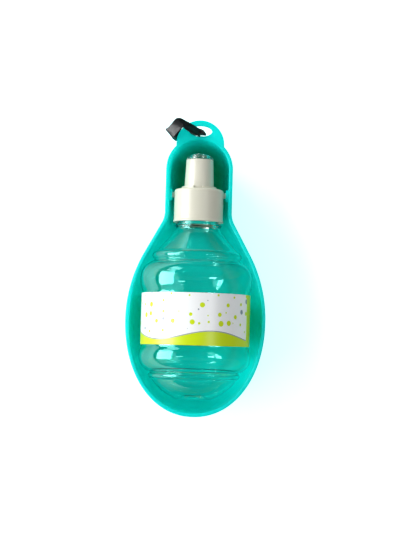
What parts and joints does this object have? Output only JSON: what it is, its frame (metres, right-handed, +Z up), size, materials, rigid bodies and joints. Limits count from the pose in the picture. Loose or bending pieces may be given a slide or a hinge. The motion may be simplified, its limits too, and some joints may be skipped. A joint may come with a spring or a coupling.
{
  "type": "pet water bottle",
  "caption": "Travel pet water bottle: a clear bottle with a twist spout, hinged by its screw collar in a gourd-shaped drinking tray with a hang tab and a webbing loop.",
  "frame": {"origin": "on the flat base of the tray, under the widest place of its bowl", "axes": "+Z up out of the open tray, +Y along the bottle toward the hang tab, +X to the right with the tab away from the viewer"},
  "size_m": [0.104, 0.2212, 0.0863],
  "materials": {
    "tray": "satin turquoise, slightly translucent",
    "collar": "satin warm white",
    "neck_gasket": "matt silicone",
    "spout": "satin warm white",
    "spout_tip": "clear, glossy",
    "valve_sleeve": "matt silicone",
    "spout_oring": "matt",
    "bottle": "clear, glossy",
    "label": "printed film",
    "strap": "black webbing"
  },
  "bodies": {
    "tray": {"tray": "tray"},
    "collar": {"collar": "collar", "valve_sleeve": "valve_sleeve", "spout_oring": "spout_oring"},
    "spout": {"spout": "spout", "spout_tip": "spout_tip"},
    "neck_gasket": {"neck_gasket": "neck_gasket"},
    "bottle": {"bottle": "bottle", "label": "label"},
    "strap": {"strap": "strap"}
  },
  "joints": [
    {"name": "bottle_flip", "type": "hinge", "parent": "tray", "child": "collar", "pos_m": [0, 0.0935, 0.0444], "axis": [-1, 0, 0], "range_deg": [0, 120]},
    {"name": "spout_twist", "type": "hinge", "parent": "collar", "child": "spout", "pos_m": [0, 0.0935, 0.0444], "axis": [0, -1, 0], "range_deg": [0, 30]},
    {"name": "bottle_turn", "type": "hinge", "parent": "collar", "child": "neck_gasket", "pos_m": [0, 0.0935, 0.0444], "axis": [0, -1, 0], "range_deg": [0, 450]},
    {"name": "bottle_draw", "type": "slide", "parent": "neck_gasket", "child": "bottle", "axis": [0, -1, 0], "range_m": [0, 0.00376]},
    {"name": "strap_swing", "type": "hinge", "parent": "tray", "child": "strap", "pos_m": [0, 0.14, 0.0489], "axis": [0.8211, 0.5708, 0], "range_deg": [-6, 10]}
  ],
  "couplings": [
    {"joint": "bottle_draw", "follows": "bottle_turn", "m_per_rad": 0.00047746}
  ]
}
